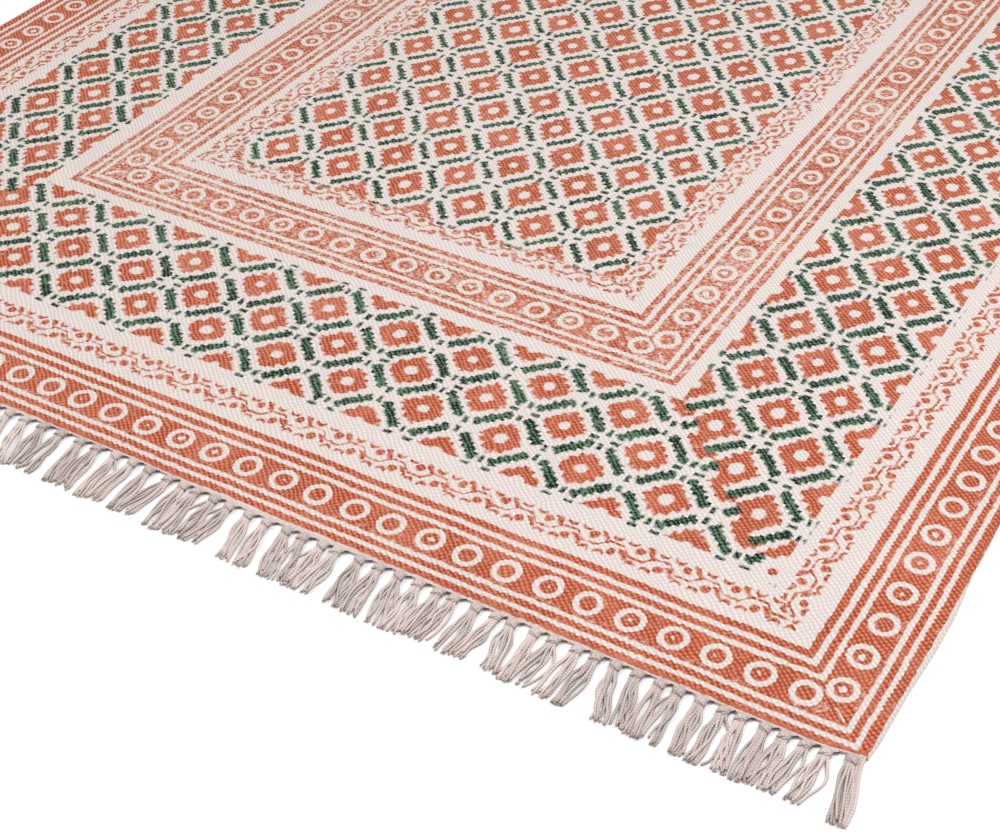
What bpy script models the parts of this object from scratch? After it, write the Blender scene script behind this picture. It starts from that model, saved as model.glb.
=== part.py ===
"""A block-printed cotton rug, flat on the floor, with a knotted fringe along both short ends.

Metres, +Z up. The origin is on the floor under the middle of the rug. X runs along the fringed
ends, Y along the rug's length, and the printed face looks up. The far half of the outline is the
near half turned round, so the box is centred on the origin.
"""

import math
import random

import bmesh
import bpy

# The cloth, between its two selvedges and between its two cut ends
WIDTH = 1.220
LENGTH = 1.830
THICKNESS = 0.003
CORNER_ROUND = 0.004
EDGE_STEPS = 60  # points along each edge of the outline

# How far an edge bows out of its straight line: share of the edge's length, millimetres outwards.
# The near edge runs from left to right, the right edge from the near corner to the far one.
NEAR_BOW = ((0.0, -3.0), (0.03, 1.5), (0.12, 2.0), (0.25, 0.5), (0.39, 2.5), (0.47, 1.2),
            (0.5, 0.8), (0.53, 2.2), (0.56, 3.2), (0.6, 4.3), (0.64, 4.2), (0.7, 2.5), (0.8, 2.5),
            (0.89, 1.8), (0.97, 1.5), (1.0, -3.0))
RIGHT_BOW = ((0.0, -1.0), (0.01, 0.3), (0.035, 0.3), (0.065, 2.0), (0.08, 1.8), (0.118, -2.6),
             (0.15, -4.0), (0.3, -1.5), (0.5, 1.0), (0.7, -1.0), (0.88, 1.0), (1.0, -1.0))

# The fringe: warp ends gathered into tassels, each knotted close to the cloth
TASSELS = 74
END_INSET = 0.0096      # from the selvedge to the middle of the first tassel
FRINGE_LENGTH = 0.059   # from the cut end of the cloth to the longest tip
STRIP_GAP = 0.0003      # parts the fringe's strip from the cloth
STRIP_DEPTH = 0.0022    # the strip of bare warp that the tassels grow out of
STRIP_INSET = 0.001     # the strip's ends from the selvedges
STRIP_END = 0.0005      # the least bare strip beside an outer tassel
ROOT_WIDTH = 0.0095     # a tassel where it leaves the strip
KNOT_OUT = 0.0062       # from the cloth to the middle of the knot
KNOT_LENGTH = 0.0050
KNOT_WIDTH = 0.0068
KNOT_HEIGHT = 0.0056
NECK_WIDTH = 0.0056
NECK_HEIGHT = 0.0040
LOCK_WIDTH = 0.0094     # all the yarns of one tassel, side by side at the tips
LOCK_HEIGHT = 0.0030
LOCK_STEPS = ((0.45, 0.9), (1.0, 1.0))  # share of a lock's length, and of its full width there
LEAN_CURVE = 1.15       # a tassel leans a little more towards its tip
SPLIT = 0.0009          # half the gap between the two locks of a parted tassel
TIP_SPACING = 0.0104    # between the tips of tassels that lie together
SHORTER = 0.0035        # the most that a tassel is short of the longest
PARTED_SHARE = 0.4      # of the tassels lie in two locks
SEED = 5

# The tassels in sight, from the right corner of the near end, in millimetres: how far the knot is
# from the knot before it, and how far the tip leans to the right. The others are evenly spaced.
TASSEL_ROWS = (
    (0, 12), (17, -4), (14, -5), (15, -2), (14, 6), (17, 6), (13, 1), (17, 5), (17, 0), (14, 4),
    (17, 13), (17, 14), (15, -3), (15, -2), (18.5, -4), (15, 2), (18.5, 11), (13, -5), (17, 0),
    (18.5, -2), (13, -1), (17, 5), (17, 10), (17, 5), (17, 7), (20, 0), (13, 3), (17, 8), (15, 12),
    (18.5, 8), (17, 12), (18.5, -3), (15, 1), (17, 3), (13, 5), (15, -7), (20, 3), (17, -1),
    (17, 6), (18.5, 5), (17, 9), (20, 3), (18.5, 10), (18.5, 17), (17, 6),
)

COTTON_WHITE = (0.80, 0.74, 0.69, 1.0)
COTTON_GREIGE = (0.61, 0.53, 0.48, 1.0)


def bow(table, share):
    """Metres outwards at a share of an edge's length, eased between the rows of the table."""
    for (start, first), (end, last) in zip(table, table[1:]):
        if share <= end:
            part = (share - start) / (end - start)
            eased = part * part * (3.0 - 2.0 * part)
            return (first + (last - first) * eased) / 1000.0
    return table[-1][1] / 1000.0


def near_edge(x):
    """Y of the cloth's near cut end at this X."""
    return -LENGTH / 2.0 - bow(NEAR_BOW, min(max(x / WIDTH + 0.5, 0.0), 1.0))


def right_edge(y):
    """X of the cloth's right selvedge at this Y."""
    return WIDTH / 2.0 + bow(RIGHT_BOW, y / LENGTH + 0.5)


def half_outline():
    """The near edge from left to right with the corner after it, then the right edge."""
    points = []
    left = -right_edge(LENGTH / 2.0)
    right = right_edge(-LENGTH / 2.0)
    for step in range(EDGE_STEPS + 1):
        x = left + CORNER_ROUND + (right - left - 2.0 * CORNER_ROUND) * step / EDGE_STEPS
        points.append((x, near_edge(x)))
    low = near_edge(right) + CORNER_ROUND
    high = -near_edge(left) - CORNER_ROUND
    turn = math.radians(45.0)
    points.append((right - CORNER_ROUND * (1.0 - math.sin(turn)), low - CORNER_ROUND * math.cos(turn)))
    for step in range(EDGE_STEPS + 1):
        y = low + (high - low) * step / EDGE_STEPS
        points.append((right_edge(y), y))
    points.append((-left - CORNER_ROUND * (1.0 - math.sin(turn)), high + CORNER_ROUND * math.cos(turn)))
    return points


def material(name, colour, roughness):
    made = bpy.data.materials.new(name)
    made.use_nodes = True
    shader = made.node_tree.nodes["Principled BSDF"]
    shader.inputs["Base Color"].default_value = colour
    shader.inputs["Roughness"].default_value = roughness
    shader.inputs["Metallic"].default_value = 0.0
    return made


def add_object(name, mesh):
    obj = bpy.data.objects.new(name, mesh)
    bpy.context.scene.collection.objects.link(obj)
    return obj


def make_cloth():
    half = half_outline()
    outline = half + [(-x, -y) for x, y in half]
    shape = bmesh.new()
    base = shape.faces.new([shape.verts.new((x, y, 0.0)) for x, y in outline])
    raised = bmesh.ops.extrude_face_region(shape, geom=[base])["geom"]
    top = [part for part in raised if isinstance(part, bmesh.types.BMVert)]
    bmesh.ops.translate(shape, verts=top, vec=(0.0, 0.0, THICKNESS))
    bmesh.ops.triangulate(shape, faces=[face for face in shape.faces if len(face.verts) > 4])
    bmesh.ops.recalc_face_normals(shape, faces=shape.faces)
    mesh = bpy.data.meshes.new("rug_cloth")
    shape.to_mesh(mesh)
    shape.free()
    mesh.materials.append(material("printed_cotton", COTTON_WHITE, 0.9))
    return add_object("rug_cloth", mesh)


def tassel_plan():
    """A row for each tassel, from left to right: knot X, tip X, tip Y, whether it is parted."""
    chance = random.Random(SEED)
    knots = [WIDTH / 2.0 - END_INSET]
    for gap, _ in TASSEL_ROWS[1:]:
        knots.append(knots[-1] - gap / 1000.0)
    others = TASSELS - len(knots)
    spacing = (knots[-1] + WIDTH / 2.0 - END_INSET) / others
    knots += [knots[-1] - spacing * (i + 1) for i in range(others)]
    tips = []
    for i, knot in enumerate(knots):
        tip = knot + TASSEL_ROWS[i % len(TASSEL_ROWS)][1] / 1000.0
        if tips:
            tip = min(tip, tips[-1] - TIP_SPACING)
        tips.append(tip)
    rows = []
    for knot, tip in zip(knots, tips):
        short = chance.random() ** 2 * SHORTER if rows else 0.0
        rows.append((knot, tip, -LENGTH / 2.0 - FRINGE_LENGTH + short, chance.random() < PARTED_SHARE))
    return rows[::-1]


def ring(shape, low_points, height):
    """Points of one section: along the floor, then back above them."""
    low = [shape.verts.new((x, y, 0.0)) for x, y in low_points]
    high = [shape.verts.new((x, y, height)) for x, y in reversed(low_points)]
    return low + high


def join_rings(shape, first, second):
    count = len(first)
    for i in range(count):
        j = (i + 1) % count
        shape.faces.new((first[i], first[j], second[j], second[i]))


def across(x, y, width, slope, parts):
    """Floor points across a tassel at (x, y), square to the way it runs."""
    run = math.hypot(1.0, slope)
    points = []
    for i in range(parts + 1):
        side = width * (i / parts - 0.5)
        points.append((x + side / run, y + side * slope / run))
    return points


def add_lock(shape, start, knot, tip, neck_y, tip_y, shift, width):
    """One lock from its four points at the neck to its closed tip; shift is its place across."""
    rings = [start]
    slope = -(tip - knot) / (tip_y - neck_y) / 2.0
    for share, grown in LOCK_STEPS:
        x = knot + (tip - knot) * share ** LEAN_CURVE
        y = neck_y + (tip_y - neck_y) * share
        points = across(x + shift * grown, y, width * grown, slope, 1)
        rings.append(ring(shape, points, LOCK_HEIGHT))
    for first, second in zip(rings, rings[1:]):
        join_rings(shape, first, second)
    shape.faces.new(rings[-1])


def make_fringe():
    """The strip along the near cut end, with every tassel fused to its outer face."""
    shape = bmesh.new()
    inner, outer = [], []
    tassels = tassel_plan()
    left = -right_edge(LENGTH / 2.0) + STRIP_INSET
    right = right_edge(-LENGTH / 2.0) - STRIP_INSET
    stations = [left]
    for knot, _, _, _ in tassels:
        stations.append(max(knot - ROOT_WIDTH / 2.0, left + STRIP_END))
        stations.append(min(knot + ROOT_WIDTH / 2.0, right - STRIP_END))
    stations.append(right)
    for x in stations:
        y = near_edge(x) - STRIP_GAP
        inner.append([shape.verts.new((x, y, z)) for z in (0.0, THICKNESS)])
        outer.append([shape.verts.new((x, y - STRIP_DEPTH, z)) for z in (0.0, THICKNESS)])
    for end in (0, -1):
        shape.faces.new(inner[end] + outer[end][::-1])
    for i in range(len(stations) - 1):
        bare = i % 2 == 0
        parted = not bare and tassels[i // 2][3]
        # A parted tassel's root has a point halfway, so the strip's faces get it too.
        low = [outer[i][0], outer[i + 1][0]]
        high = [outer[i][1], outer[i + 1][1]]
        if parted:
            middle = [(low[0].co + low[1].co) / 2.0, (high[0].co + high[1].co) / 2.0]
            low.insert(1, shape.verts.new(middle[0]))
            high.insert(1, shape.verts.new(middle[1]))
        shape.faces.new([inner[i][0], inner[i + 1][0]] + low[::-1])
        shape.faces.new([inner[i][1], inner[i + 1][1]] + high[::-1])
        shape.faces.new((inner[i][0], inner[i][1], inner[i + 1][1], inner[i + 1][0]))
        if bare:
            shape.faces.new((outer[i][0], outer[i][1], outer[i + 1][1], outer[i + 1][0]))
        else:
            add_tassel(shape, low + high[::-1], *tassels[i // 2])
    bmesh.ops.recalc_face_normals(shape, faces=shape.faces)
    mesh = bpy.data.meshes.new("fringe")
    shape.to_mesh(mesh)
    shape.free()
    mesh.materials.append(material("bare_cotton", COTTON_GREIGE, 0.9))
    return mesh


def add_tassel(shape, root, knot, tip, tip_y, parted):
    """Root, knot and neck as one tube, then one lock, or two that part at the neck."""
    parts = 2 if parted else 1
    edge = near_edge(knot)
    start = edge - KNOT_OUT + KNOT_LENGTH / 2.0
    end = edge - KNOT_OUT - KNOT_LENGTH / 2.0
    sections = (
        (start, NECK_WIDTH, NECK_HEIGHT),
        (edge - KNOT_OUT, KNOT_WIDTH, KNOT_HEIGHT),
        (end, NECK_WIDTH, NECK_HEIGHT),
    )
    last = root
    for y, width, height in sections:
        following = ring(shape, across(knot, y, width, 0.0, parts), height)
        join_rings(shape, last, following)
        last = following
    if not parted:
        add_lock(shape, last, knot, tip, end, tip_y, 0.0, LOCK_WIDTH)
        return
    width = LOCK_WIDTH / 2.0 - SPLIT
    shift = LOCK_WIDTH / 4.0 + SPLIT / 2.0
    left_start = [last[0], last[1], last[4], last[5]]
    right_start = [last[1], last[2], last[3], last[4]]
    add_lock(shape, left_start, knot, tip, end, tip_y, -shift, width)
    add_lock(shape, right_start, knot, tip, end, tip_y, shift, width)


def main():
    for obj in list(bpy.data.objects):
        bpy.data.objects.remove(obj, do_unlink=True)
    make_cloth()
    fringe = make_fringe()
    add_object("fringe_near", fringe)
    far = add_object("fringe_far", fringe)
    far.rotation_euler = (0.0, 0.0, math.pi)


main()
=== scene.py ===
"""A block-printed cotton rug with a knotted fringe, seen from above one corner on a pale floor.

Metres, +Z up. The origin is on the floor under the middle of the rug. X runs along the fringed
ends, Y along the rug's length. The print is traditional block work: ring borders, vine bands and
a lattice of pierced diamonds, all made of shader sums that this file writes down.
"""

import math
import random

import bpy
import numpy as np
from mathutils import Matrix


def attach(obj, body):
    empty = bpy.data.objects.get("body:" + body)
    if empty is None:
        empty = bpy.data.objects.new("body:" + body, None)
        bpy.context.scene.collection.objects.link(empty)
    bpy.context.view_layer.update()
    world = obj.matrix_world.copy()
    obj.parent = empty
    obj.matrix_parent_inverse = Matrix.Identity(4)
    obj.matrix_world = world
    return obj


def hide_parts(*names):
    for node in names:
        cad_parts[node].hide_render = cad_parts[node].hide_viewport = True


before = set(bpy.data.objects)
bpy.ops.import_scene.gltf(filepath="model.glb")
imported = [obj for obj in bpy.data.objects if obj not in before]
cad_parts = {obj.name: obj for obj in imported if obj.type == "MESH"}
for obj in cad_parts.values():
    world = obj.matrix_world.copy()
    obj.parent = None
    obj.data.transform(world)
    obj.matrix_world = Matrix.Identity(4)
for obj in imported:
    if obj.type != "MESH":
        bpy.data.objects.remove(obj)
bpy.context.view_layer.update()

# The cloth and the outline of the CAD model, which the visual pieces follow
WIDTH = 1.220
LENGTH = 1.830
THICKNESS = 0.003
NEAR_BOW = ((0.0, -3.0), (0.03, 1.5), (0.12, 2.0), (0.25, 0.5), (0.39, 2.5), (0.47, 1.2),
            (0.5, 0.8), (0.53, 2.2), (0.56, 3.2), (0.6, 4.3), (0.64, 4.2), (0.7, 2.5), (0.8, 2.5),
            (0.89, 1.8), (0.97, 1.5), (1.0, -3.0))
RIGHT_BOW = ((0.0, -1.0), (0.01, 0.3), (0.035, 0.3), (0.065, 2.0), (0.08, 1.8), (0.118, -2.6),
             (0.15, -4.0), (0.3, -1.5), (0.5, 1.0), (0.7, -1.0), (0.88, 1.0), (1.0, -1.0))
CLOTH_COLUMNS = 184
CLOTH_ROWS = 276
RIM_STEPS = (0.0, 0.0007, 0.0016, 0.0028, 0.0042, 0.0062)  # metres in from every edge
RIM_ROWS = ((0.55, 0.0004), (0.22, 0.0002), (0.0, -0.0006))
#         down the cloth's edge: share of its height, metres out
WAVES = ((0.00030, 23.0, 9.0, 0.5), (0.00025, -15.0, 31.0, 1.7), (0.00020, 47.0, -21.0, 4.1))
#         unevenness of the top: height, how quickly it turns across and along, phase
PLUMP = 0.0008          # how much higher the selvedge's cord stands
PLUMP_IN = 0.0026       # from the edge to the middle of the cord
PLUMP_HALF = 0.0016
ROUND_SIDE = 0.0022     # how far in the rounding of the sides and of the ends reaches
ROUND_END = 0.0016
MAP_MARGIN = 0.005      # the baked picture: the cloth's top is at its left, the rim at its right
MAP_LONG = 0.99
MAP_TOP = 0.79
MAP_RIM_START = 0.82
MAP_RIM = 0.17

# The fringe, as in the CAD model
TASSELS = 74
END_INSET = 0.0096
FRINGE_LENGTH = 0.059
KNOT_OUT = 0.0062
KNOT_LENGTH = 0.0050
TIP_SPACING = 0.0104
SHORTER = 0.0035
PARTED_SHARE = 0.4
SEED = 5
TASSEL_ROWS = (
    (0, 12), (17, -4), (14, -5), (15, -2), (14, 6), (17, 6), (13, 1), (17, 5), (17, 0), (14, 4),
    (17, 13), (17, 14), (15, -3), (15, -2), (18.5, -4), (15, 2), (18.5, 11), (13, -5), (17, 0),
    (18.5, -2), (13, -1), (17, 5), (17, 10), (17, 5), (17, 7), (20, 0), (13, 3), (17, 8), (15, 12),
    (18.5, 8), (17, 12), (18.5, -3), (15, 1), (17, 3), (13, 5), (15, -7), (20, 3), (17, -1),
    (17, 6), (18.5, 5), (17, 9), (20, 3), (18.5, 10), (18.5, 17), (17, 6),
)
YARNS = 9               # in one tassel
UPPER_YARNS = 2         # of them lie on top of the others
YARN_RADIUS = 0.00102
STRAY_SHARE = 0.10      # of the yarns bow out of their tassel
STRAY_BOW = (0.003, 0.008)
SWAY = (0.0004, 0.0016)
SELVEDGE_ENDS = 3       # loose warps at each corner
YARN_SIDES = 6
LOCK_STEPS = 9          # steps of a yarn from its knot to its tip
NECK_WIDTH = 0.0046     # between the middles of a tassel's outer yarns, at its knot
LOCK_SPREAD = 0.0098    # and near the tips
PART_HALF = 0.0014      # the halves of a parted tassel each move this far apart
TIP_RAGGED = 0.005      # the yarns of a tassel end within this
HAIRS = 2               # frayed hairs at a yarn's tip
HAIR_RADII = (0.00034, 0.00026, 0.00014)
COLLAR = ((-0.0004, 0.0150, 0.0022), (0.0006, 0.0146, 0.0024), (0.0014, 0.0126, 0.0026),
          (0.0022, 0.0102, 0.0030), (0.0032, 0.0084, 0.0038), (0.0044, 0.0084, 0.0046),
          (0.0056, 0.0090, 0.0052), (0.0070, 0.0088, 0.0052), (0.0082, 0.0074, 0.0044),
          (0.0092, 0.0054, 0.0030))
#         metres out of the cut edge, width, height
COLLAR_PLIES = 5        # yarns that show round a collar, twice over
COLLAR_SIDES = 10
WRAP_STEPS = 20         # of the yarn that is wrapped round the knot
WRAP_TURNS = 1.55
WRAP_REACH = (0.0038, 0.0012, 0.0020)  # across, along and up, from the knot's middle
WRAP_RADIUS = 0.00110
PAINTED_SHADOW_THREAD = ((0.0032, 0.0046), (0.0024, 0.0054), (0.0016, 0.0066), (0.0010, 0.0080))
#                  a dark thread, painted as the shadow at a collar's right: metres out of the cut edge
#                  and from the knot
PAINTED_SHADOW_THREAD_RADIUS = 0.0005

# The print. u runs right and v away, in ring repeats, from where the ring lines of the near and
# the right side cross. The hand-printed repeat is a little longer along the rug than across it.
U_UNIT = 0.03357
V_UNIT = 0.03545
U_ZERO = 0.5719
V_ZERO = -0.8793
V_MIDDLE = 24.8         # the far half is the near half mirrored
LEFT_LINE = 34.0        # the left ring line is this far from the right one
LEFT_HALF = -17.0       # what lies left of this u belongs to the left side
INNER_START = -5.0      # what lies further in than this belongs to the inner frame or the field
INNER_RIGHT = 8.466     # from an outer ring line in to the inner one, on every side
INNER_LEFT = 8.31
INNER_END = 8.3

# Six values stand for the right and the left side, the same of the inner frame, the ends and the
# inner frame's ends.
FIRST_RING = (0.429, 12.39, 8.804, 8.943, 0.608, 8.932)
RING_RATE = (0.9960, 1.0121, 0.9377, 0.9804, 1.0, 0.9881)  # rings in one repeat
VINE_LINE = (1.85, 1.60, 1.88, 1.64, 1.71, 1.83)  # in from the ring line to the vine's middle
INK_END = (1.095, 1.05, 1.06)  # out from the ring line: at the sides, ends and inner frame
STRIPES = (-1.06, -0.87, -0.73, -0.56, -0.43, 0.46, 0.59, 0.75, 0.87)
#         out from the ring line: where the ink starts and stops by turns
STRIPE_REACH = 1.25
WHITE_RING = (0.207, 0.346)  # its inner and outer radius
STRETCH = 0.227         # repeats that the right outer border gains up to the middle of the rug

VINE_REPEAT = 1.145
VINE_HALF = 0.37        # half the width of the band
VINE_ROW = 0.155        # from its middle out to the dots
VINE_DOT = 0.110
VINE_SPREAD = 0.010     # how far the ink runs over the lines of the block
VINE_FIRST = (10.77, 11.12)  # where the near vine and the others start

# A lattice counts cells from a diamond's middle. These are shares of a cell.
DIAMOND_SIDE = 0.286    # across and along together
DIAMOND_TIP = 0.252
TOOTH_STEP = 0.17
BAR_SIDE = 0.412        # across and along together
BAR_END = 0.32
BEAD_STEP = 0.122
# These are ring repeats.
TOOTH_DEPTH = 0.04
BEAD_DEPTH = 0.028
HOLE_RADIUS = 0.12
END_CELL = 2.18
SIDE_CELL = 2.2
END_START = (7.9, 5.8)
END_BAND = (4.71, 2.14, 2.22)  # in to its middle, then half the widths of its orange and its green
# Where a lattice starts and its cells in one repeat, across and then along
RIGHT_LATTICE = (3.72, 1.0 / 2.2, 4.2, 1.0 / 2.23)
LEFT_LATTICE = (28.45, 1.0 / 2.1, 7.9, 1.0 / 2.26)
FIELD_LATTICE = (11.85, 1.0 / 2.14, 11.55, 1.0 / 2.31)
SIDE_TALLER = 0.08      # the diamonds of the side bands and the field are taller by this share
FIELD_THINNER = 0.026   # and the bars of the field thinner by this width

WARP_PITCH = 0.00272
WEFT_PITCH = 0.00238
PACKED_FULL = 0.0025    # the weave is packed close this far in from a cut end
PACKED_END = 0.0045     # and is even from here

CAMERA_PLACE = (0.8257, -1.7192, 0.9295)
CAMERA_HEADING = 31.46
CAMERA_ELEVATION = 38.57
CAMERA_ROLL = -0.78
CAMERA_LENS = 66.74
SENSOR_WIDTH = 36.0

SKY_STRENGTH = 0.54
FLOOR_HALF = 14.0
FLOOR_GAP = 0.0004      # the floor lies this far under the rug, so that the two never coincide


def linear(red, green, blue):
    """A screen colour from 0 to 255 as the linear colour that a shader takes."""
    shares = [channel / 255.0 for channel in (red, green, blue)]
    curved = [s / 12.92 if s <= 0.04045 else ((s + 0.055) / 1.055) ** 2.4 for s in shares]
    return tuple(curved) + (1.0,)


# Ground, orange and green each have a colour for the weave's crests, painted lit, and one for its
# hollows, painted in shade; the faded orange is the ink's own.
GROUND_CREST_PAINTED_LIT = linear(228, 218, 214)
GROUND_HOLLOW_PAINTED_SHADE = linear(198, 186, 181)
ORANGE_CREST_PAINTED_HIGHLIGHT = linear(215, 125, 93)
ORANGE_HOLLOW_PAINTED_SHADE = linear(146, 58, 31)
ORANGE_FADED = linear(222, 150, 126)
GREEN_CREST_PAINTED_LIT = linear(86, 120, 93)
GREEN_HOLLOW_PAINTED_SHADE = linear(2, 18, 12)
# Yarn colours: the light one also stands for the painted lit tops of the yarns. The dark one stands for
# painted shade on their sides and for the painted shadow thread at each collar, besides the yarns' own
# darker tone.
YARN_LIGHT = linear(226, 208, 203)
YARN_DARK_AND_PAINTED_SHADE = linear(66, 52, 48)
FLOOR = linear(246, 246, 245)
SKY_TINT = (1.0, 0.94, 0.86, 1.0)
WINDOW_TINT = (0.89, 0.95, 1.0)


# Numbers inside a material

class Num:
    """A number inside a material: plain arithmetic on it adds Math nodes."""

    def __init__(self, socket):
        self.socket = socket

    def __add__(self, other):
        return maths("ADD", self, other)

    def __sub__(self, other):
        return maths("SUBTRACT", self, other)

    def __rsub__(self, other):
        return maths("SUBTRACT", other, self)

    def __mul__(self, other):
        return maths("MULTIPLY", self, other)

    __radd__ = __add__
    __rmul__ = __mul__


def plug(tree, socket, value):
    if isinstance(value, Num):
        tree.links.new(value.socket, socket)
    else:
        socket.default_value = value


def maths(kind, *values, clamp=False):
    """One Math node. At least one of the values is a Num, and the others may be plain numbers."""
    tree = next(value.socket.id_data for value in values if isinstance(value, Num))
    node = tree.nodes.new("ShaderNodeMath")
    node.operation = kind
    node.use_clamp = clamp
    for socket, value in zip(node.inputs, values):
        plug(tree, socket, value)
    return Num(node.outputs[0])


def times_plus(value, factor, added):
    return maths("MULTIPLY_ADD", value, factor, added)


def size(value):
    return maths("ABSOLUTE", value)


def whole(value):
    return maths("FLOOR", value)


def over(value, limit):
    return maths("GREATER_THAN", value, limit)


def lowest(*values):
    found = values[0]
    for value in values[1:]:
        found = maths("MINIMUM", found, value)
    return found


def highest(*values):
    found = values[0]
    for value in values[1:]:
        found = maths("MAXIMUM", found, value)
    return found


def wrapped(value, period=1.0):
    """The value moved by whole periods to within half a period of nought."""
    return maths("WRAP", value, period / 2.0, -period / 2.0)


def far_from(across, along):
    """The length of a vector of two parts."""
    return maths("SQRT", times_plus(across, across, along * along))


def pick(flag, no, yes):
    """One value where the flag is 0 and the other where it is 1."""
    if isinstance(no, Num) or isinstance(yes, Num):
        tree = flag.socket.id_data
        node = tree.nodes.new("ShaderNodeMix")
        node.data_type = "FLOAT"
        node.clamp_factor = False
        plug(tree, node.inputs[0], flag)
        plug(tree, node.inputs[2], no)
        plug(tree, node.inputs[3], yes)
        return Num(node.outputs[0])
    return times_plus(flag, yes - no, no)


def inside(distance, soft):
    """1 where a signed distance is under nought, fading over the soft width."""
    return maths("MULTIPLY_ADD", distance, -0.5 / soft, 0.5, clamp=True)


def between(value, low, high):
    """0 at the low value, 1 at the high one and straight between."""
    return maths("MULTIPLY_ADD", value, 1.0 / (high - low), -low / (high - low), clamp=True)


def vector(x, y):
    tree = x.socket.id_data
    node = tree.nodes.new("ShaderNodeCombineXYZ")
    plug(tree, node.inputs[0], x)
    plug(tree, node.inputs[1], y)
    return node.outputs[0]


def noise(place, scale, detail=1.0):
    """Two smooth random numbers from -0.5 to 0.5 at a place on the cloth."""
    tree = place.id_data
    node = tree.nodes.new("ShaderNodeTexNoise")
    node.noise_dimensions = "2D"
    node.inputs["Scale"].default_value = scale
    node.inputs["Detail"].default_value = detail
    tree.links.new(place, node.inputs["Vector"])
    parts = tree.nodes.new("ShaderNodeSeparateColor")
    tree.links.new(node.outputs["Color"], parts.inputs[0])
    return Num(parts.outputs[0]) - 0.5, Num(parts.outputs[1]) - 0.5


def chance(place):
    """Two random numbers from 0 to 1 that stay the same all over one cell of whole numbers."""
    tree = place.id_data
    node = tree.nodes.new("ShaderNodeTexWhiteNoise")
    node.noise_dimensions = "2D"
    tree.links.new(place, node.inputs["Vector"])
    parts = tree.nodes.new("ShaderNodeSeparateColor")
    tree.links.new(node.outputs["Color"], parts.inputs[0])
    return Num(parts.outputs[0]), Num(parts.outputs[1])


def bands(value, low, high, edges, soft):
    """A mask by the value alone, which turns on and off by turns at the edges."""
    tree = value.socket.id_data
    node = tree.nodes.new("ShaderNodeValToRGB")
    stops = node.color_ramp.elements
    span = high - low
    shade = 0.0
    stops[0].position = 0.0
    stops[0].color = (0.0, 0.0, 0.0, 1.0)
    stops.remove(stops[1])
    for edge in edges:
        for side in (-1, 1):
            level = shade if side < 0 else 1.0 - shade
            stop = stops.new((edge + side * soft - low) / span)
            stop.color = (level, level, level, 1.0)
        shade = 1.0 - shade
    plug(tree, node.inputs[0], between(value, low, high))
    return Num(node.outputs[0])


def blended(factor, first, second, kind="MIX"):
    """A colour between two: each is a plain colour or the output of an earlier blend."""
    tree = factor.socket.id_data
    node = tree.nodes.new("ShaderNodeMix")
    node.data_type = "RGBA"
    node.blend_type = kind
    plug(tree, node.inputs[0], factor)
    for socket, colour in ((node.inputs[6], first), (node.inputs[7], second)):
        if isinstance(colour, tuple):
            socket.default_value = colour
        else:
            tree.links.new(colour, socket)
    return node.outputs[2]


def new_material(name):
    """A material with its shader, and the number pairs of the object's own X and Y."""
    made = bpy.data.materials.new(name)
    made.use_nodes = True
    tree = made.node_tree
    shader = tree.nodes["Principled BSDF"]
    place = tree.nodes.new("ShaderNodeTexCoord").outputs["Object"]
    parts = tree.nodes.new("ShaderNodeSeparateXYZ")
    tree.links.new(place, parts.inputs[0])
    return made, shader, Num(parts.outputs[0]), Num(parts.outputs[1])


def add_bump(shader, height, depth):
    tree = shader.id_data
    bump = tree.nodes.new("ShaderNodeBump")
    bump.inputs["Strength"].default_value = 1.0
    bump.inputs["Distance"].default_value = depth
    plug(tree, bump.inputs["Height"], height)
    tree.links.new(bump.outputs["Normal"], shader.inputs["Normal"])


# The print

def border(s, ring_s, along, side, ragged):
    """The printed share of a ring border: s outwards from its ring line, rings at whole numbers."""
    stripes = bands(s + ragged, -STRIPE_REACH, STRIPE_REACH, STRIPES, 0.012)
    number = whole(along + 0.5)
    shift_a, shift_b = chance(vector(number, side))
    across = times_plus(shift_a, 0.04, ring_s - 0.02)
    off = times_plus(shift_b, 0.04, along - number - 0.02)
    away = far_from(across, off) + ragged * 0.7
    rings = bands(away, 0.0, 0.6, WHITE_RING, 0.014)
    # The dot in the middle of a ring is there on most of them, and never quite the same.
    dot = far_from(
        across * (shift_b * 0.5 + 0.75) + shift_a * 0.05 - 0.03,
        off + shift_b * 0.06 - 0.03,
    )
    hollow = inside(dot + ragged * 1.3 - times_plus(shift_a, 0.14, -0.04), 0.014)
    return stripes * (1.0 - highest(rings, hollow))


def vine(w, along, turn, inner):
    """Signed distance of the vine band: w outwards from its middle, along in repeats."""
    outer = over(w, 0.0)
    off = wrapped(along * turn) * VINE_REPEAT
    half = wrapped(times_plus(outer, 0.5, along * turn)) * VINE_REPEAT
    row = size(w)
    dots = far_from(half, row - VINE_ROW) - VINE_DOT
    # The stem keeps to the outer side under the inner row's dots and crosses between them.
    sway = maths("COSINE", off * (2.0 * math.pi / VINE_REPEAT))
    stem_at = (between(sway, -0.55, 0.55) - 0.5) * 0.23
    stem = size(w - stem_at) - times_plus(inner, 0.014, 0.026)
    # A leaf beside each dot slants from the band's rim towards the next dot.
    down = times_plus(outer, -0.31, 0.33) + w
    run = between(down * 0.85 + (half - 0.17) * 0.6, 0.0, 0.27)
    leaf = far_from(half - 0.18 - run * 0.17, down - run * 0.24) - times_plus(run, -0.02, 0.076)
    # Short curved dashes in pairs follow both rims, with their ends turned outwards.
    pair = size(size(wrapped(half - 0.72, VINE_REPEAT)) - 0.19)
    dash = highest(size(row - 0.25 - pair * pair * 4.0) - 0.045, pair - 0.12)
    return lowest(dots, stem, leaf, dash) - VINE_SPREAD


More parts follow.
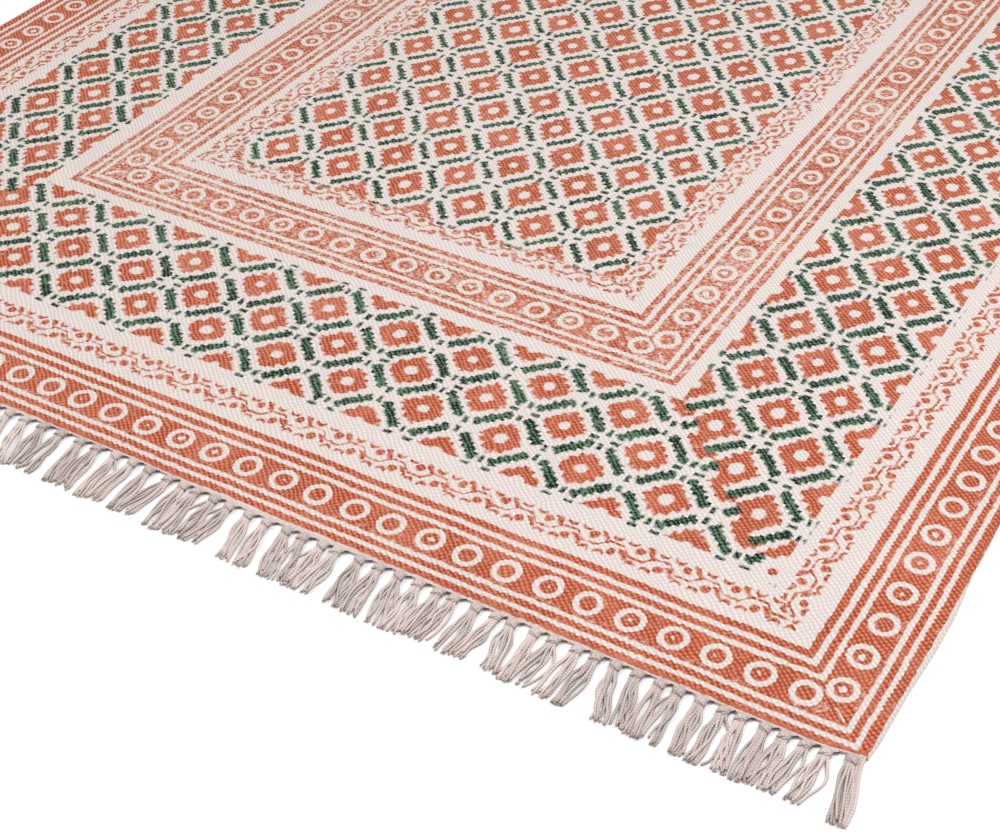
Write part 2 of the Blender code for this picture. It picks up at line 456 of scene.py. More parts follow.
def lattice(a, b, repeat, ragged, taller, thinner):
    """Signed distances of the orange diamonds and the green bars; a and b count cells.

    The diamonds are taller along a by a share, and the bars are thinner by a width.
    """
    fa = size(wrapped(a))
    fb = size(wrapped(b))
    second = over(fa + fb, 0.5)
    da = size(times_plus(second, -0.5, fa))
    db = size(times_plus(second, -0.5, fb))
    # No two diamonds are quite alike in size, or in the hole through them.
    place = times_plus(second, -0.5, 0.5)
    grown, pierced = chance(vector(whole(a + place) + second * 0.4, whole(b + place)))
    total = da + db
    slant = repeat / math.sqrt(2.0)
    # The blocks are cut in steps, so a diamond has blunt tips and toothed sides.
    teeth = maths("COSINE", (da - db) * (2.0 * math.pi / TOOTH_STEP))
    blunt = (highest(da * (1.0 - taller * 2.0), db) - DIAMOND_TIP) * repeat
    spread = da * (1.0 - taller) + db * (1.0 + taller)
    toothed = times_plus(teeth, TOOTH_DEPTH, (spread - DIAMOND_SIDE) * slant)
    body = highest(toothed, blunt) - grown * 0.04
    hollow = far_from(da * (1.0 - taller), db) * (repeat * 0.97)
    hole = times_plus(pierced, 0.06, HOLE_RADIUS) - hollow
    diamond = highest(times_plus(ragged, 2.2, body), times_plus(ragged, 0.8, hole))
    # A beaded bar lies between two diamonds, and short ticks point at every crossing of the bars.
    skew = size(fa - fb)
    beads = maths("COSINE", skew * (2.0 * math.pi / BEAD_STEP))
    beaded = (BAR_SIDE - total) * slant - beads * BEAD_DEPTH
    bar = highest(beaded, (skew - BAR_END) * slant) + thinner
    side = over(fa, fb)
    x = size(times_plus(side, -0.5, fa)) * repeat
    y = size(times_plus(side, 0.5, fb - 0.5)) * repeat
    tall = highest(x - 0.064, size(y - times_plus(side, -0.08, 0.27)) - 0.115)
    wide = highest(size(x - 0.28) - 0.12, y - 0.062) + side
    ticks = lowest(tall, wide)
    return diamond, lowest(times_plus(ragged, 1.8, bar), times_plus(ragged, 0.7, ticks))


def by_side(on_end, inner, left, values):
    """The one of the six values that belongs to a place."""
    right_outer, left_outer, right_inner, left_inner, end_outer, end_inner = values
    outer_side = pick(left, right_outer, left_outer)
    inner_side = pick(left, right_inner, left_inner)
    return pick(on_end, pick(inner, outer_side, inner_side), pick(inner, end_outer, end_inner))


def frames(u, v, ragged):
    """Ring borders as a mask, vine bands as signed distances, and where a place lies among them."""
    near = V_MIDDLE - size(v - V_MIDDLE)
    left = over(LEFT_HALF, u)
    side_out = highest(u, -LEFT_LINE - u)
    end_out = 0.0 - near
    inner = over(INNER_START, highest(side_out, end_out))
    # Along the right side the print wanders inwards a little.
    wandered = between(near, 3.5, 5.5) * (1.0 - left)
    side_s = side_out + pick(inner, wandered * 0.035, pick(left, INNER_RIGHT, INNER_LEFT))
    end_s = end_out + inner * INNER_END
    on_end = over(end_s - side_s, 0.09)
    s = highest(end_s, side_s)
    ring_s = pick(on_end, side_s, end_s)

    # The right outer border is stretched a little beyond its near part, so that its halves meet
    # between two rings.
    stretched = between(near, 14.0, V_MIDDLE) * (1.0 - highest(left, inner))
    run = pick(on_end, times_plus(stretched, STRETCH, near), 0.0 - u)
    start = by_side(on_end, inner, left, FIRST_RING)
    rate = by_side(on_end, inner, left, RING_RATE)
    rings = border(s, ring_s, (run - start) * rate, inner * 2.0 + on_end, ragged)
    # The ink of the outer border stops just short of the selvedge and of the cut ends.
    side_end, cut_end, inner_end = INK_END
    ink_end = pick(inner, pick(on_end, side_end, cut_end), inner_end)
    rings = rings * inside(s + ragged * 0.6 - ink_end, 0.012)
    # Where two blocks meet at a corner, a white scratch runs along the mitre.
    mitre = side_s - end_s
    scratch = inside(size(mitre + ragged) - 0.03, 0.02) * inside(size(s - 0.22) - 0.14, 0.02)
    rings = rings * (1.0 - scratch)
    # The ink is patchy at the outer rim of the rings' band, in its corners and all over the
    # inner frame.
    speckled = highest(
        inside(size(s - 0.40) - 0.05, 0.06),
        inside(far_from(side_s + 0.12, end_s - 0.26) - 0.2, 0.12) * 1.3,
        inner * over(1.75, size(s + 0.55)) * 0.95,
    )

    right_line = times_plus(wandered, -0.07, VINE_LINE[0])
    line = by_side(on_end, inner, left, (right_line,) + VINE_LINE[1:])
    near_first, other_first = VINE_FIRST
    first = pick(lowest(on_end + left + inner, 1.0), near_first, other_first)
    turn = pick(lowest(on_end + left, 1.0), 1.0, -1.0)
    w = s + line
    vines = vine(w, (run - first) * (1.0 / VINE_REPEAT), turn, inner)
    vines = highest(vines, size(w) - VINE_HALF)
    return rings, vines, speckled, inner, lowest(inner, over(8.0, s + 10.0))


def lattices(u, v, field, ragged):
    """Orange and green signed distances of the end bands, the side bands and the field."""
    near = V_MIDDLE - size(v - V_MIDDLE)
    left = over(LEFT_HALF, u)
    corner = highest(u, -LEFT_LINE - u) + near
    start_u, start_near = END_START
    end_a = (u + start_u) * (1.0 / END_CELL)
    end_b = (near - start_near) * (1.0 / END_CELL)
    end_orange, end_green = lattice(end_a, end_b, END_CELL, ragged, 0.0, 0.0)
    end_middle, orange_half, green_half = END_BAND
    end_rim = size(near - end_middle)
    end_orange = highest(end_orange, end_rim - orange_half, corner - 0.12)
    end_green = highest(end_green, end_rim - green_half, corner - 0.02)

    start_u, cells_u, start_v, cells_v = (
        pick(field, pick(left, of_right, of_left), of_field)
        for of_right, of_left, of_field in zip(RIGHT_LATTICE, LEFT_LATTICE, FIELD_LATTICE)
    )
    b = (u + start_u) * cells_u
    a = (v - start_v) * cells_v
    side_orange, side_green = lattice(
        a, b, SIDE_CELL, ragged, SIDE_TALLER, field * FIELD_THINNER
    )
    # Of the last diamond before a right corner only its upper half and one small bit are there.
    missing = lowest(u + 3.05, 3.08 - near, far_from(u + 2.68, near - 2.71) - 0.11)
    band_rim = highest(
        size(u + pick(left, 4.8, 29.5)) + pick(left, -2.25, -2.12), -0.12 - corner
    )
    field_rim = highest(size(u + 17.2) - 6.42, size(v - V_MIDDLE) - 14.4)
    side_rim = pick(field, band_rim, field_rim)
    side_orange = highest(side_orange, side_rim)
    side_green = highest(side_green, side_rim - 0.1)

    return highest(lowest(end_orange, side_orange), missing), lowest(end_green, side_green)


def weave(x, y):
    """The height of the cloth from 0 to 1, and the crossing of warp and weft nearest to a place."""
    across = x * (1.0 / WARP_PITCH)
    down = y * (1.0 / WEFT_PITCH)
    loose, tight = noise(vector(x, y), 55.0)
    across = across + loose * 1.6
    down = down + tight * 1.8
    rising = maths("COSINE", (across + down) * math.pi)
    falling = maths("COSINE", (across - down) * math.pi)
    warp = maths("COSINE", across * (2.0 * math.pi))
    height = times_plus(rising, 0.27, times_plus(falling, 0.16, times_plus(warp, 0.07, 0.5)))
    column = whole(across + 0.5)
    row = whole(down + 0.5)
    return height, across - column, down - row, vector(column, row)


def cut_y(tree):
    """How far along a place is from the middle of the flat cut cloth, in metres."""
    flat = tree.nodes.new("ShaderNodeUVMap")
    flat.uv_map = "flat"
    parts = tree.nodes.new("ShaderNodeSeparateXYZ")
    tree.links.new(flat.outputs[0], parts.inputs[0])
    return size(Num(parts.outputs[1]))


def printed_cotton():
    made, shader, x, y = new_material("printed_cotton")
    tree = made.node_tree
    height, off_x, off_y, crossing = weave(x, y)
    patch, fleck = chance(crossing)
    place = vector(x, y)
    # The last picks before a cut end are packed close, so only the warp ribs show.
    packed = between(cut_y(tree), LENGTH / 2.0 - PACKED_END, LENGTH / 2.0 - PACKED_FULL) * 0.7
    ribs = maths("COSINE", x * (4.0 * math.pi / WARP_PITCH))
    height = pick(packed, height, times_plus(ribs, 0.28, 0.55))
    slow_x, slow_y = noise(place, 22.0)
    fine_x, fine_y = noise(place, 130.0)
    cloudy, worn = noise(place, 9.0, 3.0)

    # The ink keeps to whole crossings of the weave, so every printed edge is a little stepped.
    u = (x - U_ZERO) * (1.0 / U_UNIT) + slow_x * 0.05
    v = (y - V_ZERO) * (1.0 / V_UNIT) + slow_y * 0.05
    step_u = off_x * (WARP_PITCH / U_UNIT)
    step_v = off_y * (WEFT_PITCH / V_UNIT)
    fine_u = times_plus(step_u, -0.2, u)
    fine_v = times_plus(step_v, -0.2, v)
    held_u = times_plus(step_u, -0.55, u) + fine_x * 0.03
    held_v = times_plus(step_v, -0.55, v) + fine_y * 0.03
    ragged = times_plus(patch, 0.030, height * -0.018) + fine_y * 0.04
    rings, vines, speckled, inner, field = frames(fine_u, fine_v, ragged)
    orange_far, green_far = lattices(held_u, held_v, field, ragged)
    orange = highest(inside(lowest(orange_far, vines + ragged * 1.2), 0.016), rings)
    green = inside(green_far, 0.018)

    # Thin ink misses the hollows and some crossings, most of all in streaks along the twill lines.
    streaks, _ = noise(vector((x + y) * 0.35, x - y), 420.0)
    thin = times_plus(inner, 0.055, times_plus(worn, 0.18, speckled * 0.18))
    missed = between(thin + fleck * 0.34 - height * 0.25 + fine_x * 0.3 + streaks * 0.5, 0.30, 0.46)
    orange = orange * (1.0 - missed * 0.85)
    green = green * (1.0 - missed * 0.5)
    faded = between(slow_y + worn * 0.6 + fine_y * 0.5 + streaks * 0.4 + inner * 0.12, 0.0, 0.32)

    # The ground is painted lighter on the weave's crests and darker in its hollows, as painted light
    # and shade, with random tone from the cloudy noise.
    level = between(height + cloudy * 0.1, 0.1, 0.85)
    ground = blended(level, GROUND_HOLLOW_PAINTED_SHADE, GROUND_CREST_PAINTED_LIT)
    # The orange gets a painted highlight on the weave's crests and painted shade in its hollows, with
    # some random tone.
    crest_painted_highlight = between(height * 1.5 + patch * 0.35 + cloudy * 0.2 - inner * 0.05, 0.53, 1.46)
    paint = blended(crest_painted_highlight, ORANGE_HOLLOW_PAINTED_SHADE, ORANGE_CREST_PAINTED_HIGHLIGHT)
    paint = blended(faded * 0.22, paint, ORANGE_FADED)
    # The green is painted near black in the weave's hollows as painted shade and lighter on its crests,
    # and it is speckled at random by the noise.
    green_painted_light_and_speckle = between(height * 2.0 + patch * 0.7 + fine_x * 1.2 + slow_x * 1.2, 1.0, 1.75)
    leaf = blended(green_painted_light_and_speckle, GREEN_HOLLOW_PAINTED_SHADE, GREEN_CREST_PAINTED_LIT)
    colour = blended(orange, ground, paint)
    colour = blended(green, colour, leaf)
    tree.links.new(colour, shader.inputs["Base Color"])
    plug(tree, shader.inputs["Roughness"], times_plus(height, -0.08, 0.94))
    shader.inputs["Specular IOR Level"].default_value = 0.25
    shader.inputs["Sheen Weight"].default_value = 0.08
    add_bump(shader, height + patch * 0.12, 0.0007)
    return made


def plain_underside():
    made, shader, x, y = new_material("cotton_underside")
    tree = made.node_tree
    height, _, _, crossing = weave(x, y)
    patch, _ = chance(crossing)
    cloudy, _ = noise(vector(x, y), 7.0, 3.0)
    # The underside too is painted lighter on the weave's crests and darker in its hollows, as painted
    # light and shade, with random tone.
    level = between(height + cloudy * 0.4 + patch * 0.2, 0.1, 1.0)
    tree.links.new(blended(level, GROUND_HOLLOW_PAINTED_SHADE, GROUND_CREST_PAINTED_LIT), shader.inputs["Base Color"])
    plug(tree, shader.inputs["Roughness"], times_plus(height, -0.08, 0.95))
    shader.inputs["Specular IOR Level"].default_value = 0.25
    add_bump(shader, height, 0.0009)
    return made


def bare_yarn():
    """Twisted cotton: the ply runs round each yarn, whose own map has turns across and metres along."""
    made, shader, x, y = new_material("bare_yarn")
    tree = made.node_tree
    turns = tree.nodes.new("ShaderNodeUVMap")
    turns.uv_map = "yarn"
    parts = tree.nodes.new("ShaderNodeSeparateXYZ")
    tree.links.new(turns.outputs[0], parts.inputs[0])
    round_way = Num(parts.outputs[0])
    along = Num(parts.outputs[1])
    ply = maths("SINE", (round_way * 2.0 + along * 380.0) * (2.0 * math.pi))
    height = times_plus(ply, 0.5, 0.5)
    shade = tree.nodes.new("ShaderNodeVertexColor")
    shade.layer_name = "shade"
    lit = tree.nodes.new("ShaderNodeSeparateColor")
    tree.links.new(shade.outputs["Color"], lit.inputs[0])
    fuzz, _ = noise(vector(x, y), 900.0, 2.0)
    facing = tree.nodes.new("ShaderNodeSeparateXYZ")
    tree.links.new(tree.nodes.new("ShaderNodeNewGeometry").outputs["Normal"], facing.inputs[0])
    # Yarn faces turned sideways are painted darker and faces turned up or down are painted lighter, as
    # painted shade and light, which also darkens the gaps between yarns. The ply's crests are painted
    # lighter too.
    painted_light_by_facing = between(size(Num(facing.outputs[2])), 0.0, 0.85)
    level = between(Num(lit.outputs[0]) + height * 0.25 + fuzz * 0.3 + painted_light_by_facing * 0.45, 0.05, 1.5)
    tree.links.new(blended(level, YARN_DARK_AND_PAINTED_SHADE, YARN_LIGHT), shader.inputs["Base Color"])
    plug(tree, shader.inputs["Roughness"], times_plus(height, -0.06, 0.96))
    shader.inputs["Specular IOR Level"].default_value = 0.2
    shader.inputs["Sheen Weight"].default_value = 0.1
    add_bump(shader, height, 0.00022)
    return made


def pale_floor():
    made, shader, _, _ = new_material("pale_floor")
    shader.inputs["Base Color"].default_value = FLOOR
    shader.inputs["Roughness"].default_value = 0.9
    shader.inputs["Specular IOR Level"].default_value = 0.1
    return made


# The outline, as in the CAD model

def bow(table, share):
    """Metres outwards at a share of an edge's length, eased between the rows of the table."""
    for (start, first), (end, last) in zip(table, table[1:]):
        if share <= end:
            part = (share - start) / (end - start)
            eased = part * part * (3.0 - 2.0 * part)
            return (first + (last - first) * eased) / 1000.0
    return table[-1][1] / 1000.0


def near_edge(x):
    return -LENGTH / 2.0 - bow(NEAR_BOW, min(max(x / WIDTH + 0.5, 0.0), 1.0))


def right_edge(y):
    return WIDTH / 2.0 + bow(RIGHT_BOW, min(max(y / LENGTH + 0.5, 0.0), 1.0))


def laid_out(x, y):
    """Where a point of the flat cut cloth lies: its edges follow the uneven outline."""
    right = right_edge(y) - WIDTH / 2.0
    left = -right_edge(-y) + WIDTH / 2.0
    near = near_edge(x) + LENGTH / 2.0
    far = -near_edge(-x) - LENGTH / 2.0
    across = x / WIDTH + 0.5
    along = y / LENGTH + 0.5
    # The unevenness fades quickly inwards, so the print further in stays straight.
    moved_x = right * across ** 6 + left * (1.0 - across) ** 6
    moved_y = far * along ** 8 + near * (1.0 - along) ** 8
    return x + moved_x, y + moved_y


def stations(length, count):
    """Places from end to end of a side, close together near its ends."""
    half = length / 2.0
    rim = list(RIM_STEPS)
    inner = half - rim[-1]
    middle = [-inner + 2.0 * inner * i / count for i in range(1, count)]
    return [-half + step for step in rim] + middle + [half - step for step in rim[::-1]]


def surface_height(x, y):
    """The top of the cloth: gentle unevenness, a plump selvedge and rounded edges."""
    wave = sum(
        height * math.sin(across * x + along * y + phase) for height, across, along, phase in WAVES
    )
    to_side = WIDTH / 2.0 - abs(x)
    to_end = LENGTH / 2.0 - abs(y)
    plump = PLUMP * math.exp(-((to_side - PLUMP_IN) / PLUMP_HALF) ** 2)
    round_side = min(to_side / ROUND_SIDE, 1.0)
    round_end = min(to_end / ROUND_END, 1.0)
    fall = 1.0 - 0.45 * (1.0 - round_side) ** 2 - 0.35 * (1.0 - round_end) ** 2
    return (THICKNESS - 0.0002 + wave + plump) * fall


def outward(value, length):
    """1 or -1 at the two ends of a length, and 0 between them."""
    return (value > length / 2.0 - 1e-6) - (value < -length / 2.0 + 1e-6)


def make_cloth(materials):
    """The rug: its top as a grid, its edge in rows round the rim and one flat underside."""
    xs = stations(WIDTH, CLOTH_COLUMNS)
    ys = stations(LENGTH, CLOTH_ROWS)
    columns, rows = len(xs), len(ys)
    points, flat, bake = [], [], []
    for y in ys:
        map_y = MAP_MARGIN + MAP_LONG * (y / LENGTH + 0.5)
        for x in xs:
            px, py = laid_out(x, y)
            points.append((px, py, surface_height(x, y)))
            flat.append((x, y))
            bake.append((MAP_MARGIN + MAP_TOP * (x / WIDTH + 0.5), map_y))
    faces = []
    for row in range(rows - 1):
        for column in range(columns - 1):
            first = row * columns + column
            faces.append((first, first + 1, first + columns + 1, first + columns))
    rim = list(range(columns))
    rim += [row * columns + columns - 1 for row in range(1, rows)]
    rim += [(rows - 1) * columns + column for column in range(columns - 2, -1, -1)]
    rim += [row * columns for row in range(rows - 2, 0, -1)]
    last = rim
    for share, out in RIM_ROWS:
        following = []
        for index in rim:
            x, y = flat[index]
            px, py, pz = points[index]
            side = outward(x, WIDTH)
            end = outward(y, LENGTH)
            following.append(len(points))
            points.append((px + side * out, py + end * out, pz * share))
            flat.append((x, y))
            map_x = MAP_RIM_START + MAP_RIM * (x / WIDTH + 0.5)
            bake.append((map_x, MAP_MARGIN + MAP_LONG * (y / LENGTH + 0.5)))
        for i in range(len(rim)):
            j = (i + 1) % len(rim)
            faces.append((last[j], last[i], following[i], following[j]))
        last = following
    faces.append(tuple(last[::-1]))
    mesh = bpy.data.meshes.new("rug")
    mesh.from_pydata(points, [], faces)
    for name, places in (("flat", flat), ("OFBake", bake)):
        layer = mesh.uv_layers.new(name=name)
        loops = np.empty(len(mesh.loops), dtype=np.int32)
        mesh.loops.foreach_get("vertex_index", loops)
        layer.data.foreach_set("uv", np.array(places, dtype=np.float32)[loops].ravel())
    for made in materials:
        mesh.materials.append(made)
    mesh.polygons.foreach_set("use_smooth", [True] * len(mesh.polygons))
    mesh.polygons[len(faces) - 1].material_index = 1
    mesh.update()
    return add_object("rug_printed", mesh)


def add_object(name, mesh):
    obj = bpy.data.objects.new(name, mesh)
    bpy.context.scene.collection.objects.link(obj)
    return obj


# The fringe

def tassel_plan():
    """A row for each tassel, from left to right: knot X, tip X, tip Y, whether it is parted."""
    chances = random.Random(SEED)
    knots = [WIDTH / 2.0 - END_INSET]
    for gap, _ in TASSEL_ROWS[1:]:
        knots.append(knots[-1] - gap / 1000.0)
    others = TASSELS - len(knots)
    spacing = (knots[-1] + WIDTH / 2.0 - END_INSET) / others
    knots += [knots[-1] - spacing * (i + 1) for i in range(others)]
    tips = []
    for i, knot in enumerate(knots):
        tip = knot + TASSEL_ROWS[i % len(TASSEL_ROWS)][1] / 1000.0
        if tips:
            tip = min(tip, tips[-1] - TIP_SPACING)
        tips.append(tip)
    rows = []
    for knot, tip in zip(knots, tips):
        short = chances.random() ** 2 * SHORTER if rows else 0.0
        parted = chances.random() < PARTED_SHARE
        rows.append((knot, tip, -LENGTH / 2.0 - FRINGE_LENGTH + short, parted))
    return rows[::-1]


class Tubes:
    """Collects round tubes into one mesh, with turns and metres along as their map."""

    def __init__(self):
        self.points = []
        self.faces = []
        self.maps = []
        self.shades = []

    def add(self, path, radii, sides, shade, plies=1):
        path = np.array(path, dtype=float)
        radii = np.array(radii, dtype=float)
        if radii.ndim < 2:
            radii = np.repeat(np.broadcast_to(radii, len(path))[:, None], 2, axis=1)
        step = np.gradient(path, axis=0)
        step /= np.linalg.norm(step, axis=1)[:, None] + 1e-12
        flat_way = np.cross(step, (0.0, 0.0, 1.0))
        for i in range(len(path)):
            if np.linalg.norm(flat_way[i]) < 0.2:
                flat_way[i] = flat_way[i - 1] if i else (1.0, 0.0, 0.0)
        flat_way /= np.linalg.norm(flat_way, axis=1)[:, None]
        up_way = np.cross(flat_way, step)
        far = np.concatenate([[0.0], np.cumsum(np.linalg.norm(np.diff(path, axis=0), axis=1))])
        first = len(self.points)
        for i in range(len(path)):
            for k in range(sides):
                turn = 2.0 * math.pi * k / sides
                across = flat_way[i] * math.cos(turn) * radii[i][0]
                up = up_way[i] * math.sin(turn) * radii[i][1]
                self.points.append(tuple(path[i] + (across + up)))
        for i in range(len(path) - 1):
            low, high = first + i * sides, first + (i + 1) * sides
            near, beyond = far[i], far[i + 1]
            for k in range(sides):
                j = (k + 1) % sides
                self.faces.append((low + k, low + j, high + j, high + k))
                start, end = plies * k / sides, plies * (k + 1) / sides
                self.maps.append(((start, near), (end, near), (end, beyond), (start, beyond)))
                self.shades.append(shade)
        for ring, order in ((first, -1), (first + (len(path) - 1) * sides, 1)):
            self.faces.append(tuple(range(ring, ring + sides))[::order])
            self.maps.append(tuple((k / sides, far[-1]) for k in range(sides)))
            self.shades.append(shade)

    def mesh(self, name, turned, made):
        points = np.array(self.points)
        if turned:
            points[:, :2] *= -1.0
        mesh = bpy.data.meshes.new(name)
        mesh.from_pydata(points.tolist(), [], self.faces)
        layer = mesh.uv_layers.new(name="yarn")
        corners = np.array([corner for face in self.maps for corner in face], dtype=np.float32)
        layer.data.foreach_set("uv", corners.ravel())
        shade = mesh.color_attributes.new(name="shade", type="FLOAT_COLOR", domain="CORNER")
        values = [(s, s, s, 1.0) for s, face in zip(self.shades, self.faces) for _ in face]
        shade.data.foreach_set("color", np.array(values, dtype=np.float32).ravel())
        mesh.polygons.foreach_set("use_smooth", [True] * len(mesh.polygons))
        mesh.materials.append(made)
        mesh.update()
        return mesh


def smooth_share(value):
    value = min(max(value, 0.0), 1.0)
    return value * value * (3.0 - 2.0 * value)


def add_collar(tubes, chances, knot, tone):
    """The warp drawn together from the cloth's edge into a neck, with the knot's wrap over it."""
    edge = near_edge(knot)
    lumps = chances.uniform(0.0, 6.0)
    path, radii = [], []
    for out, width, height in COLLAR:
        shift = 0.0002 * math.sin(lumps + out * 900.0)
        path.append((knot + shift, edge - out, height / 2.0 + 0.0001))
        radii.append((width / 2.0, height / 2.0))
    tubes.add(path, radii, COLLAR_SIDES, tone, COLLAR_PLIES)
    turned = chances.choice((-1.0, 1.0))
    across, along, up = WRAP_REACH
    loop = []
    for step in range(WRAP_STEPS):
        s = step / (WRAP_STEPS - 1.0)
        turn = 2.0 * math.pi * (WRAP_TURNS * s) - 0.4
        loop.append((
            knot + turned * math.cos(turn) * across,
            edge - KNOT_OUT + 0.0010 - 0.0028 * s + math.cos(turn) * along,
            0.0027 + math.sin(turn) * up,
        ))
    tubes.add(loop, WRAP_RADIUS, YARN_SIDES, tone + 0.08)
    # A near-black thread lies at the collar's right as painted shadow, where shade falls under the
    # cloth's edge.
    shadow_thread = [(knot + aside, edge - out, 0.0016) for out, aside in PAINTED_SHADOW_THREAD]
    tubes.add(shadow_thread, PAINTED_SHADOW_THREAD_RADIUS, 4, -0.9)


def add_tassel(tubes, chances, knot, tip, tip_y, parted):
    """One knotted tassel: its collar, then yarns that lie side by side out to the tip."""
    tone = chances.uniform(0.5, 0.8)
    add_collar(tubes, chances, knot, tone - 0.1)
    edge = near_edge(knot)
    neck_y = edge - KNOT_OUT - KNOT_LENGTH / 2.0 + 0.0008
    places = list(range(YARNS))
    # Most yarns lie on the floor and the rest on top of them.
    on_top = set(chances.sample(places[1:-1], UPPER_YARNS))
    flat = (i for i in places if i not in on_top)
    low = sorted(flat, key=lambda i: i + chances.uniform(-1.4, 1.4))
    slots = {i: (order / (len(low) - 1.0) - 0.5, YARN_RADIUS) for order, i in enumerate(low)}
    for i in on_top:
        slots[i] = (i / (YARNS - 1.0) - 0.5, YARN_RADIUS * 2.6)
    for i in places:
        slot, rest_z = slots[i]
        turn = 2.0 * math.pi * (i + chances.uniform(-0.3, 0.3)) / YARNS
        rise = math.sin(turn) * 0.0008
        path = [(knot + math.cos(turn) * 0.0016, neck_y + 0.0022, 0.0022 + rise)]
        phase = chances.uniform(0, 2 * math.pi)
        waves = chances.uniform(0.6, 1.7)
        sway = chances.uniform(*SWAY)
        spread = chances.uniform(0.94, 1.16)
        stray = 0.0
        if chances.random() < STRAY_SHARE:
            stray = chances.uniform(*STRAY_BOW) * chances.choice((-1, 1))
        end_y = tip_y + 0.0010 + chances.random() ** 2 * TIP_RAGGED
        part = math.copysign(PART_HALF, slot) if parted else 0.0
        for step in range(LOCK_STEPS + 1):
            s = step / LOCK_STEPS
            width = NECK_WIDTH + (LOCK_SPREAD - NECK_WIDTH) * smooth_share(s * 2.4 + 0.1) * spread
            x = knot + (tip - knot) * s ** 1.15 + slot * width + part * smooth_share(s * 1.6)
            x += sway * math.sin(phase + waves * 2.0 * math.pi * s) * smooth_share(s * 3.0)
            x += stray * math.sin(s * 3.0)
            z = 0.0024 + (rest_z - 0.0024) * smooth_share(s * 3.6)
            path.append((x, neck_y + (end_y - neck_y) * s, max(z, YARN_RADIUS)))
        radii = [YARN_RADIUS * chances.uniform(0.94, 1.06)] * len(path)
        radii[-1] *= 0.9
        shade = tone + chances.uniform(-0.2, 0.2)
        tubes.add(path, radii, YARN_SIDES, shade)
        last_x, last_y, last_z = path[-1]
        for _ in range(HAIRS):
            swing = chances.uniform(-0.7, 0.7)
            reach = chances.uniform(0.0005, 0.0012)
            start_x = last_x + chances.uniform(-1, 1) * 0.0005
            hair = [(start_x, last_y + 0.0006, last_z),
                    (start_x + swing * reach * 0.4, last_y - reach * 0.5, last_z * 0.8),
                    (start_x + swing * reach, last_y - reach, last_z * 0.4)]
            tubes.add(hair, HAIR_RADII, 3, shade)


def add_selvedge_ends(tubes, chances, knot, tip, tip_y, side):
    """The doubled warps of a selvedge, which miss the knot and lie along the outer tassel."""
    edge = near_edge(knot + side * 0.004)
    for i in range(SELVEDGE_ENDS):
        root = knot + side * (0.0066 - i * 0.0015)
        goal = tip + side * (LOCK_SPREAD / 2.0 + 0.0004 - i * 0.0014)
        end_y = tip_y + chances.uniform(0.0, 0.003)
        path = [(root, edge + 0.0015, 0.0018)]
        for step in range(LOCK_STEPS + 1):
            s = step / LOCK_STEPS
            x = root + (goal - root) * smooth_share(s * 1.15)
            path.append((x, edge + (end_y - edge) * s, max(0.0018 - s * 0.003, YARN_RADIUS)))
        tubes.add(path, YARN_RADIUS, YARN_SIDES, chances.uniform(0.45, 0.8))


def add_root_strip(tubes):
    """The bare end of the weave, which lies along the cut edge under the printed face."""
    left = -right_edge(LENGTH / 2.0) + 0.0012
    right = right_edge(-LENGTH / 2.0) - 0.0012
    path = []
    for step in range(241):
        x = left + (right - left) * step / 240.0
        path.append((x, near_edge(x) - 0.0002, 0.0014))
    tubes.add(path, 0.0010, YARN_SIDES, 0.75)


def make_fringe(name, turned, seed, made):
    chances = random.Random(seed)
    tubes = Tubes()
    tassels = tassel_plan()
    for knot, tip, tip_y, parted in tassels:
        add_tassel(tubes, chances, knot, tip, tip_y, parted)
    for row, side in ((tassels[0], -1.0), (tassels[-1], 1.0)):
        add_selvedge_ends(tubes, chances, row[0], row[1], row[2], side)
    add_root_strip(tubes)
    return add_object(name, tubes.mesh(name, turned, made))


# The room

def make_floor():
    mesh = bpy.data.meshes.new("floor")
    corners = [(x * FLOOR_HALF, y * FLOOR_HALF, 0.0) for x, y in ((-1, -1), (1, -1), (1, 1), (-1, 1))]
    mesh.from_pydata(corners, [], [(0, 1, 2, 3)])
    mesh.materials.append(pale_floor())
    floor = add_object("floor", mesh)
    floor.location.z = -FLOOR_GAP


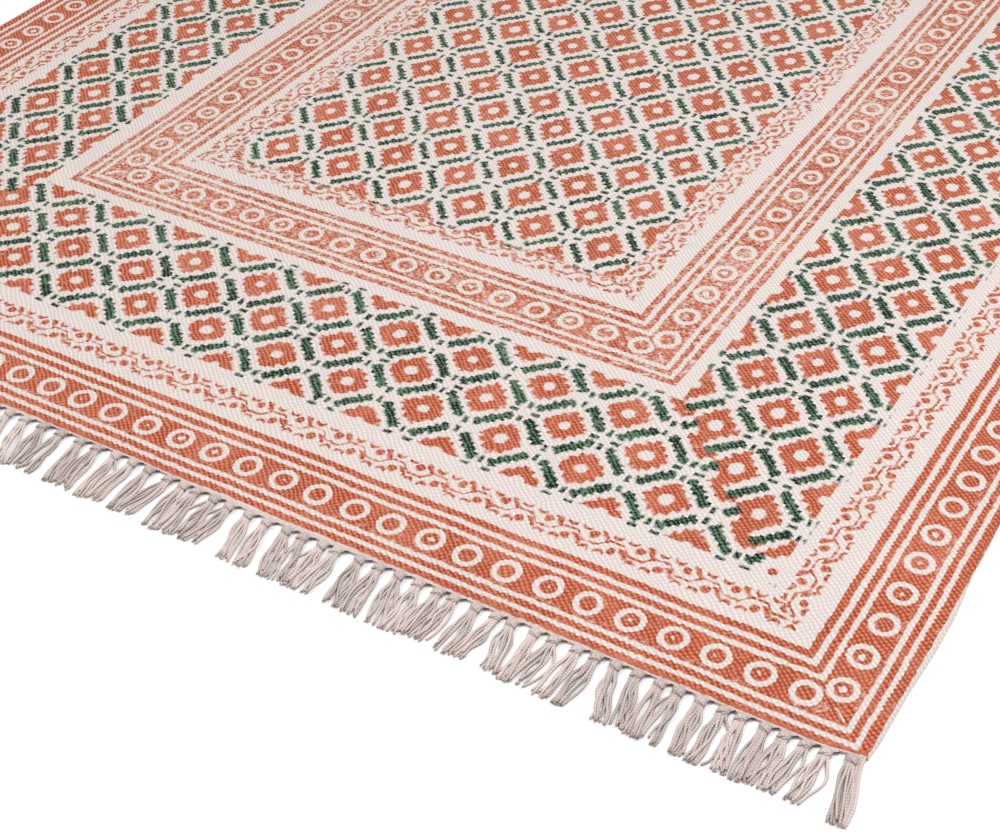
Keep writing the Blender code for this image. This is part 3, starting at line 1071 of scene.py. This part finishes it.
def add_area(name, place, target, width, power, tint=(1.0, 1.0, 1.0)):
    light = bpy.data.lights.new(name, "AREA")
    light.shape = "SQUARE"
    light.size = width
    light.energy = power
    light.color = tint
    lamp = bpy.data.objects.new(name, light)
    bpy.context.scene.collection.objects.link(lamp)
    away = np.array(place) - np.array(target)
    heading = math.atan2(away[0], -away[1])
    rise = math.atan2(away[2], math.hypot(away[0], away[1]))
    lamp.matrix_world = (
        Matrix.Translation(place)
        @ Matrix.Rotation(heading, 4, "Z")
        @ Matrix.Rotation(math.pi / 2.0 - rise, 4, "X")
    )


def make_light():
    world = bpy.data.worlds.new("soft_sky")
    world.use_nodes = True
    sky = world.node_tree.nodes["Background"]
    sky.inputs["Color"].default_value = SKY_TINT
    sky.inputs["Strength"].default_value = SKY_STRENGTH
    bpy.context.scene.world = world
    add_area("left", (-1.9, -2.6, 3.2), (0.2, -0.7, 0.0), width=2.0, power=60.0)
    add_area("window", (1.2, -0.32, 2.25), (0.3, -0.6, 0.0), width=1.4, power=42.5, tint=WINDOW_TINT)
    settings = bpy.context.scene.view_settings
    settings.view_transform = "Standard"
    settings.look = "None"


def make_camera():
    view = bpy.data.cameras.new("view")
    view.lens = CAMERA_LENS
    view.sensor_width = SENSOR_WIDTH
    view.sensor_fit = "HORIZONTAL"
    view.clip_start = 0.05
    view.clip_end = 60.0
    camera = bpy.data.objects.new("view", view)
    bpy.context.scene.collection.objects.link(camera)
    camera.matrix_world = (
        Matrix.Translation(CAMERA_PLACE)
        @ Matrix.Rotation(math.radians(CAMERA_HEADING), 4, "Z")
        @ Matrix.Rotation(math.radians(90.0 - CAMERA_ELEVATION), 4, "X")
        @ Matrix.Rotation(math.radians(CAMERA_ROLL), 4, "Z")
    )
    bpy.context.scene.camera = camera


def main():
    make_camera()
    make_light()
    make_floor()
    rug = make_cloth([printed_cotton(), plain_underside()])
    yarn = bare_yarn()
    near = make_fringe("fringe_yarns_near", False, 11, yarn)
    far = make_fringe("fringe_yarns_far", True, 12, yarn)
    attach(rug, "root")
    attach(near, "root")
    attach(far, "root")
    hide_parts("rug_cloth")
    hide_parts("fringe_near")
    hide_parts("fringe_far")


main()
